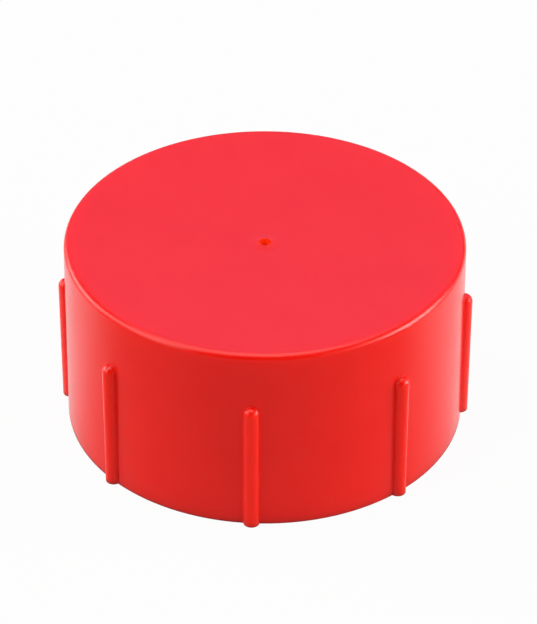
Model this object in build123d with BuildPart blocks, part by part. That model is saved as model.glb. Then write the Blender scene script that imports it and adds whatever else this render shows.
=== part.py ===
"""Threaded protection cap for a 37 degree flared hydraulic fitting, one injection moulding.

The cap stands on its open rim. Origin: centre of the rim plane. +Z: through the roof.
Millimetres and degrees.
"""
from build123d import *
from math import radians, sqrt, tan
import os

# Thread of the fitting: 1 7/8 inch, 12 threads an inch, unified form, right-hand
thread_diameter = 47.625
threads_per_inch = 12
flank_angle = 60.0
mouth_clearance = 0.3       # radial, of the plain mouth round the fitting's thread
mouth_depth = 1.6           # plain length before the lead-in cone
mouth_chamfer = 0.45
lead_in_angle = 45.0        # of the cone that starts the thread
plain_bore_length = 8.0     # unthreaded bore under the roof, for the fitting's flared nose
runout_length = 2.4         # height over which the groove dies away

# Skirt and roof
cap_height = 26.2           # to the corner that the top edge radius rounds off
wall_thickness = 2.19       # at the rim, outside the thread's root
draft_angle = 0.3           # of the skirt, narrower at the roof
roof_thickness = 2.2        # at the middle
roof_dish = 0.9             # sink of the roof at its middle
top_edge_radius = 0.85
ceiling_chamfer = 0.8       # where the bore meets the underside of the roof

# Grip ribs: round bars half sunk in the skirt, with a ball end below the roof
rib_count = 8
rib_width = 2.1
rib_length = 18.4           # up from the rim
rib_foot_projection = 0.88  # from the skirt, at the rim
rib_head_projection = 1.05  # from the skirt, at the ball end

# Gate mark in the middle of the roof: a low mound with a conical pit
gate_mound_diameter = 4.0
gate_mound_height = 0.15
gate_pit_diameter = 1.6
gate_pit_floor = 0.6        # diameter at the bottom of the pit
gate_pit_depth = 0.5        # below the roof

# Worked out from the sizes above
thread_pitch = 25.4 / threads_per_inch
flank_slope = tan(radians(flank_angle / 2))
thread_depth = thread_pitch / 2 / flank_slope * 5 / 8
root_flat = thread_pitch / 8
root_radius = thread_diameter / 2
bore_radius = root_radius - thread_depth
mouth_radius = root_radius + mouth_clearance
lead_in_height = (mouth_radius - bore_radius) / tan(radians(lead_in_angle))
rim_radius = root_radius + wall_thickness
skirt_slope = tan(radians(draft_angle))
top_radius = rim_radius - cap_height * skirt_slope

roof_low = cap_height - roof_dish
ceiling_height = roof_low - roof_thickness
thread_end = ceiling_height - plain_bore_length

# Helical groove of the internal thread. Its section starts inside the bore, so that the flanks
# break out through the bore's wall, and it dies away into a cone below the plain bore.
groove_overlap = thread_pitch / 10
groove_start = mouth_depth - thread_pitch
groove_half_width = root_flat / 2 + (thread_depth + groove_overlap) * flank_slope

with BuildPart() as thread_groove:
    with BuildLine() as thread_helix:
        Helix(
            pitch=thread_pitch,
            height=thread_end - groove_start,
            radius=bore_radius,
            center=(0, 0, groove_start),
        )
    section_plane = Plane(
        origin=thread_helix.line @ 0,
        x_dir=(1, 0, 0),
        z_dir=thread_helix.line % 0,
    )
    with BuildSketch(section_plane):
        Polygon(
            (-groove_overlap, -groove_half_width),
            (thread_depth, -root_flat / 2),
            (thread_depth, root_flat / 2),
            (-groove_overlap, groove_half_width),
            align=None,
        )
    sweep(is_frenet=True)
    runout_inside = bore_radius - 2 * groove_overlap
    with BuildSketch(Plane.XZ):
        Polygon(
            (runout_inside, thread_end),
            (mouth_radius, thread_end - runout_length),
            (mouth_radius, cap_height),
            (runout_inside, cap_height),
            align=None,
        )
    revolve(axis=Axis.Z, mode=Mode.SUBTRACT)

# One grip rib, on the +X side. Its axis leans out by the difference of the two projections,
# and its back lies inside the wall.
rib_radius = rib_width / 2
rib_back = root_radius + wall_thickness / 2
ball_height = rib_length - rib_radius
rib_foot = Vector(rim_radius + rib_foot_projection - rib_radius, 0, 0)
rib_head = Vector(
    rim_radius - ball_height * skirt_slope + rib_head_projection - rib_radius,
    0,
    ball_height,
)
rib_axis = Axis(rib_foot, rib_head - rib_foot)
rib_reach = (rib_head - rib_foot).length
towards_front = Vector(0, -1, 0)
rib_plane = Plane(rib_foot, x_dir=rib_axis.direction.cross(towards_front), z_dir=towards_front)

with BuildPart() as rib:
    with BuildSketch(rib_plane):
        with BuildLine():
            Polyline(
                (0, rib_reach + rib_radius),
                (0, -rib_radius),
                (rib_radius, -rib_radius),
                (rib_radius, rib_reach),
            )
            RadiusArc((rib_radius, rib_reach), (0, rib_reach + rib_radius), -rib_radius)
        make_face()
    revolve(axis=rib_axis)
    split(bisect_by=Plane.XY, keep=Keep.TOP)
    split(bisect_by=Plane.YZ.offset(rib_back), keep=Keep.TOP)

# The dished roof is part of a sphere round the gate mark
roof_curve = (top_radius**2 + roof_dish**2) / (2 * roof_dish)
gate_radius = gate_pit_diameter / 2
mound_radius = gate_mound_diameter / 2
mound_foot = roof_low + roof_curve - sqrt(roof_curve**2 - mound_radius**2)

with BuildPart() as threaded_cap:
    # Shell: gate mark, roof, skirt, plain mouth and plain bore
    with BuildSketch(Plane.XZ) as shell_section:
        with BuildLine():
            Polyline(
                (0, roof_low - gate_pit_depth),
                (gate_pit_floor / 2, roof_low - gate_pit_depth),
                (gate_radius, roof_low + gate_mound_height),
                (mound_radius, mound_foot),
            )
            RadiusArc((mound_radius, mound_foot), (top_radius, cap_height), -roof_curve)
            Polyline(
                (top_radius, cap_height),
                (rim_radius, 0),
                (mouth_radius + mouth_chamfer, 0),
                (mouth_radius, mouth_chamfer),
                (mouth_radius, mouth_depth),
                (bore_radius, mouth_depth + lead_in_height),
                (bore_radius, ceiling_height - ceiling_chamfer),
                (bore_radius - ceiling_chamfer, ceiling_height),
                (0, ceiling_height),
                (0, roof_low - gate_pit_depth),
            )
        make_face()
        top_edge = shell_section.vertices().sort_by_distance((top_radius, cap_height))[0]
        fillet(top_edge, top_edge_radius)
    revolve(axis=Axis.Z)

    # Grip ribs
    with PolarLocations(0, rib_count, start_angle=-90):
        add(rib.part)

    # Internal thread
    add(thread_groove.part, mode=Mode.SUBTRACT)

threaded_cap.part.label = "threaded_cap"

os.makedirs("parts", exist_ok=True)
export_step(threaded_cap.part, "parts/threaded_cap.step")
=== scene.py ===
"""Threaded protection cap in red polyethylene: finish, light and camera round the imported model."""
import math

import bpy
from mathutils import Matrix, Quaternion, Vector


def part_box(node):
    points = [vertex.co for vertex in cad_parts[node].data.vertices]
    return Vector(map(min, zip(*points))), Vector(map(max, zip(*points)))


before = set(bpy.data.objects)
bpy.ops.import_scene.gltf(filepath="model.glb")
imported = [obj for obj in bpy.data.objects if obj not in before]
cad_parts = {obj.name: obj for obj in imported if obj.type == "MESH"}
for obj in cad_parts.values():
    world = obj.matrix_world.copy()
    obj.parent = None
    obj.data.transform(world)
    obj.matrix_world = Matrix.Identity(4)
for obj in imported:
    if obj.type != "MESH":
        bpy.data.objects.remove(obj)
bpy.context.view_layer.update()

# ---------------------------------------------------------------- sizes, in metres
MM = 0.001
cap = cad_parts["threaded_cap"]
cap_low, cap_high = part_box("threaded_cap")
cap_radius = (cap_high.x - cap_low.x) / 2
cap_middle = (cap_low + cap_high) / 2
roof_sink = 0.84 * MM  # from the top edge down to the middle of the dished roof
gate_centre = Vector((0, 0, cap_high.z - roof_sink))
gate_radius = 0.8 * MM
skirt_radius = cap_radius - 0.96 * MM  # at the rim, without the ribs


# ---------------------------------------------------------------- node helpers
def node_tree(owner):
    """The owner's node tree, emptied."""
    owner.use_nodes = True
    owner.node_tree.nodes.clear()
    return owner.node_tree


def feed(tree, node, name, value):
    """Give the node's input of that name or number a value, or link a socket to it."""
    if isinstance(value, bpy.types.NodeSocket):
        tree.links.new(value, node.inputs[name])
    else:
        node.inputs[name].default_value = value


def add_node(tree, kind, inputs, **properties):
    """A node of that kind, with its inputs, which are values or sockets, and its properties set."""
    node = tree.nodes.new(kind)
    for name, value in properties.items():
        setattr(node, name, value)
    for name, value in inputs.items():
        feed(tree, node, name, value)
    return node


def calculate(tree, operation, *values):
    """One step of arithmetic on numbers and sockets."""
    node = add_node(tree, "ShaderNodeMath", dict(enumerate(values)), operation=operation)
    return node.outputs["Value"]


def ramp(tree, value, start, end, low=0.0, high=1.0, interpolation="SMOOTHSTEP"):
    """Goes with the value from low, where it is start, to high, where it is end."""
    inputs = {"Value": value, "From Min": start, "From Max": end, "To Min": low, "To Max": high}
    node = add_node(tree, "ShaderNodeMapRange", inputs, interpolation_type=interpolation)
    return node.outputs["Result"]


def blend(tree, kind, mask, outside, inside):
    """A FLOAT or RGBA that is one value or socket where the mask is 0 and another where it is 1."""
    inputs = {"Factor": mask, "A": outside, "B": inside}
    return add_node(tree, "ShaderNodeMix", inputs, data_type=kind).outputs["Result"]


def mix_shaders(tree, mask, outside, inside):
    """The first shader where the mask is 0, and the second where it is 1."""
    return add_node(tree, "ShaderNodeMixShader", {0: mask, 1: outside, 2: inside}).outputs["Shader"]


def noise(tree, place, size, detail):
    """Soft noise round 0.5, whose blotches are about that size."""
    inputs = {"Vector": place, "Scale": 1 / size, "Detail": detail, "Roughness": 0.5}
    return add_node(tree, "ShaderNodeTexNoise", inputs).outputs[0]


def bump(tree, height, depth, under):
    """A normal with relief of that depth laid over the normal under it."""
    inputs = {"Height": height, "Strength": 1.0, "Distance": depth, "Normal": under}
    return add_node(tree, "ShaderNodeBump", inputs).outputs["Normal"]


def seen_by(tree, *kinds):
    """1 for the rays of those kinds, such as Is Camera Ray, and 0 for the others."""
    rays = add_node(tree, "ShaderNodeLightPath", {})
    total = rays.outputs[kinds[0]]
    for kind in kinds[1:]:
        total = calculate(tree, "MAXIMUM", total, rays.outputs[kind])
    return total


# ---------------------------------------------------------------- material
DARK_RED = (0.87, 0.010, 0.005, 1)
LIGHT_RED = (0.90, 0.013, 0.006, 1)
GATE_RED = (0.93, 0.030, 0.002, 1)
# Painted light: a lighter red on the rib crests stands in for the light that shines through them
PAINTED_RIB_GLOW_RED = (0.98, 0.015, 0.004, 1)
RIB_GLOW_START = 0.1 * MM        # off the skirt, up to where the painted glow on a grip rib begins
RIB_GLOW_FULL = 0.6 * MM      # and from where the painted glow is full
FLOW_SIZE = 9 * MM         # blotches of pigment
POLISH_SIZE = 2.5 * MM     # patches of more and less gloss
DRAW_MARK_SIZE = 0.7 * MM  # across the marks of the mould, which run up the skirt
DRAW_MARK_SQUASH = 0.04    # of the noise along them, so that they are long
PEEL_SIZE = 0.5 * MM
RELIEF_DEPTH = 0.002 * MM
EDGE_ROUNDING = 0.12 * MM


def torn_gate(tree, place):
    """1 in the pit that the gate left in the middle of the roof, and 0 elsewhere."""
    reach = add_node(tree, "ShaderNodeVectorMath", {0: place, 1: gate_centre}, operation="DISTANCE")
    return ramp(tree, reach.outputs["Value"], 1.2 * gate_radius, 0.9 * gate_radius)


def painted_rib_glow_mask(tree, place):
    """Painted light: 1 on the crests of the grip ribs, whose red is lightened to stand in for the
    light that enters them from both sides, and 0 on the skirt.
    """
    across = add_node(tree, "ShaderNodeVectorMath", {0: place, 1: (1, 1, 0)}, operation="MULTIPLY")
    across = across.outputs["Vector"]
    radius = add_node(tree, "ShaderNodeVectorMath", {0: across}, operation="LENGTH")
    return ramp(tree, radius.outputs["Value"], skirt_radius + RIB_GLOW_START, skirt_radius + RIB_GLOW_FULL)


def moulded_plastic():
    """Red high-density polyethylene as it leaves the mould: waxy, slightly translucent, semi-gloss."""
    material = bpy.data.materials.new("moulded_plastic_red")
    tree = node_tree(material)
    place = add_node(tree, "ShaderNodeTexCoord", {}).outputs["Object"]
    torn = torn_gate(tree, place)

    # Pigment: hardly visible flow of the melt, more orange at the gate, and a painted glow on the
    # ribs, where a lighter red stands in for light shining through them
    flow = ramp(tree, noise(tree, place, FLOW_SIZE, 3), 0.25, 0.75, interpolation="LINEAR")
    pigment = blend(tree, "RGBA", flow, DARK_RED, LIGHT_RED)
    pigment = blend(tree, "RGBA", torn, pigment, GATE_RED)
    # Painted glow: the ribs get a lighter red for the light that shines through them
    pigment = blend(tree, "RGBA", painted_rib_glow_mask(tree, place), pigment, PAINTED_RIB_GLOW_RED)

    # Gloss: a little uneven, as the mould's polish is, and matt at the gate
    polish = noise(tree, place, POLISH_SIZE, 4)
    roughness = ramp(tree, polish, 0.25, 0.75, 0.17, 0.24, "LINEAR")

    # Relief: rounded corners, draw marks along the skirt, fine orange peel
    rounding = add_node(tree, "ShaderNodeBevel", {"Radius": EDGE_ROUNDING}, samples=6)
    along = add_node(tree, "ShaderNodeMapping", {"Vector": place, "Scale": (1, 1, DRAW_MARK_SQUASH)})
    draw_marks = noise(tree, along.outputs["Vector"], DRAW_MARK_SIZE, 2)
    peel = noise(tree, place, PEEL_SIZE, 2)
    relief = bump(tree, draw_marks, RELIEF_DEPTH, rounding.outputs["Normal"])
    relief = bump(tree, peel, RELIEF_DEPTH, relief)

    shader = add_node(tree, "ShaderNodeBsdfPrincipled", {
        "Base Color": pigment,
        "Roughness": blend(tree, "FLOAT", torn, roughness, 0.7),
        "IOR": 1.5,
        "Specular IOR Level": blend(tree, "FLOAT", torn, 0.45, 0.05),
        "Subsurface Weight": 1.0,
        "Subsurface Radius": (1.7, 0.3, 0.2),
        "Subsurface Scale": 1.0 * MM,
        "Normal": relief,
    })
    add_node(tree, "ShaderNodeOutputMaterial", {"Surface": shader.outputs["BSDF"]})
    return material


cap.data.materials.clear()
cap.data.materials.append(moulded_plastic())


# ---------------------------------------------------------------- floor
FLOOR_SIZE = 60 * cap_radius
FLOOR_GAP = 0.01 * MM  # under the rim, so that no two faces lie in one plane
FLOOR_FRONT = 0.36     # how bright the open front of the table is painted in a reflection, a painted shade for the cap's shadow and the dark open front
FLOOR_BACK = 0.87      # and how bright it is painted beside and behind the cap
FRONT_END = -0.95 * cap_radius
BACK_START = 0.15 * cap_radius
FLOOR_GLOW = 0.95      # share of the floor's colour that no shadow darkens


def pale_floor():
    """A flat pale table, painted darker at the front and lighter behind the cap in reflections:
    painted shade.
    """
    mesh = bpy.data.meshes.new("floor")
    height = cap_low.z - FLOOR_GAP
    corners = [(-1, -1), (1, -1), (1, 1), (-1, 1)]
    places = [(x * FLOOR_SIZE, y * FLOOR_SIZE, height) for x, y in corners]
    mesh.from_pydata(places, [], [(0, 1, 2, 3)])
    floor = bpy.data.objects.new("floor", mesh)
    bpy.context.scene.collection.objects.link(floor)
    material = bpy.data.materials.new("floor_white")
    tree = node_tree(material)
    table = add_node(tree, "ShaderNodeBsdfDiffuse", {"Color": (0.7, 0.7, 0.7, 1)})

    # White to the camera; in a reflection the front is painted darker than the back, a painted shade
    # for the cap's shadow and the dark open front
    place = add_node(tree, "ShaderNodeNewGeometry", {}).outputs["Position"]
    axes = add_node(tree, "ShaderNodeSeparateXYZ", {"Vector": place})
    # Painted shade: the floor's reflection darkens towards the front of the cap
    painted_floor_shade = ramp(tree, axes.outputs["Y"], FRONT_END, BACK_START, FLOOR_FRONT, FLOOR_BACK)
    white = calculate(tree, "MAXIMUM", painted_floor_shade, seen_by(tree, "Is Camera Ray"))
    backdrop = add_node(tree, "ShaderNodeEmission", {"Strength": white})

    seen = seen_by(tree, "Is Camera Ray", "Is Glossy Ray", "Is Transmission Ray")
    glow = calculate(tree, "MULTIPLY", seen, FLOOR_GLOW)
    surface = mix_shaders(tree, glow, table.outputs["BSDF"], backdrop.outputs["Emission"])
    add_node(tree, "ShaderNodeOutputMaterial", {"Surface": surface})
    mesh.materials.append(material)


pale_floor()


# ---------------------------------------------------------------- light
# Panels of the light tent, in degrees. A bearing is measured from the back, positive to the right.
# Each panel is full within the second angle from the first, its middle, and gone at the third. One
# that is full within 180 degrees goes all round. The backdrop is white to the camera. Gloss shows
# it a little cool, and it adds no light of its own.
PANELS = [
    dict(name="right", bearing=(90, 5, 35), elevation=(12, 8, 28), colour=(7.3, 7.3, 7.3)),
    dict(name="right_front", bearing=(122, 5, 35), elevation=(12, 8, 28), colour=(0.9, 0.9, 0.9)),
    dict(name="left", bearing=(-68, 5, 35), elevation=(12, 8, 28), colour=(4.0, 4.0, 4.0)),
    dict(name="left_front", bearing=(-115, 8, 38), elevation=(14, 8, 28), colour=(1.3, 1.3, 1.3)),
    dict(name="left_high", bearing=(-108, 12, 42), elevation=(42, 10, 32), colour=(2.3, 2.3, 2.3)),
    dict(name="above", bearing=(0, 200, 201), elevation=(90, 5, 45), colour=(2.4, 2.4, 2.4)),
    dict(
        name="backdrop",
        bearing=(5, 30, 75),
        elevation=(45, 20, 40),
        colour=(0.55, 0.5, 0.88),
        only="Is Glossy Ray",
    ),
]


def window(tree, angle, middle, full, gone):
    """1 within full degrees of the middle angle, falling smoothly to 0 at gone degrees."""
    away = calculate(tree, "SUBTRACT", angle, math.radians(middle))
    size = calculate(tree, "ABSOLUTE", away)
    return ramp(tree, size, math.radians(gone), math.radians(full))


def light_tent():
    """White tent: panels at both sides, above and behind, and the open front left dark."""
    world = bpy.data.worlds.new("light_tent")
    bpy.context.scene.world = world
    tree = node_tree(world)
    direction = add_node(tree, "ShaderNodeTexCoord", {}).outputs["Generated"]
    axes = add_node(tree, "ShaderNodeSeparateXYZ", {"Vector": direction})
    bearing = calculate(tree, "ARCTAN2", axes.outputs["X"], axes.outputs["Y"])
    elevation = calculate(tree, "ARCSINE", axes.outputs["Z"])

    total = (0, 0, 0)
    for panel in PANELS:
        across = window(tree, bearing, *panel["bearing"])
        up = window(tree, elevation, *panel["elevation"])
        shape = calculate(tree, "MULTIPLY", across, up)
        if "only" in panel:
            shape = calculate(tree, "MULTIPLY", shape, seen_by(tree, panel["only"]))
        inputs = {0: shape, 1: panel["colour"], 2: total}
        lit = add_node(tree, "ShaderNodeVectorMath", inputs, operation="MULTIPLY_ADD")
        total = lit.outputs["Vector"]
    tent = add_node(tree, "ShaderNodeBackground", {"Color": total, "Strength": 1.0})
    white = add_node(tree, "ShaderNodeBackground", {"Color": (1, 1, 1, 1), "Strength": 1.0})
    seen = seen_by(tree, "Is Camera Ray", "Is Transmission Ray")
    surface = mix_shaders(tree, seen, tent.outputs["Background"], white.outputs["Background"])
    add_node(tree, "ShaderNodeOutputWorld", {"Surface": surface})


light_tent()
bpy.context.scene.view_settings.view_transform = "Standard"


# ---------------------------------------------------------------- camera
def camera():
    """A long lens, looking down on the cap, a little to the right of one grip rib."""
    azimuth = math.radians(3.6)
    elevation = math.radians(35.64)
    roll = math.radians(0.14)
    distance = 16.795 * cap_radius
    back = Vector(
        (
            math.sin(azimuth) * math.cos(elevation),
            -math.cos(azimuth) * math.cos(elevation),
            math.sin(elevation),
        )
    )
    facing = (-back).to_track_quat("-Z", "Y")
    right = facing @ Vector((1, 0, 0))
    up = facing @ Vector((0, 1, 0))
    aim = cap_middle + (0.0177 * right + 0.0388 * up) * cap_radius
    data = bpy.data.cameras.new("camera")
    data.sensor_width = 36
    data.lens = 200
    data.clip_start = 0.01
    data.clip_end = 20
    eye = bpy.data.objects.new("camera", data)
    eye.location = aim + back * distance
    eye.rotation_mode = "QUATERNION"
    eye.rotation_quaternion = Quaternion(back, roll) @ facing
    bpy.context.scene.collection.objects.link(eye)
    bpy.context.scene.camera = eye


camera()
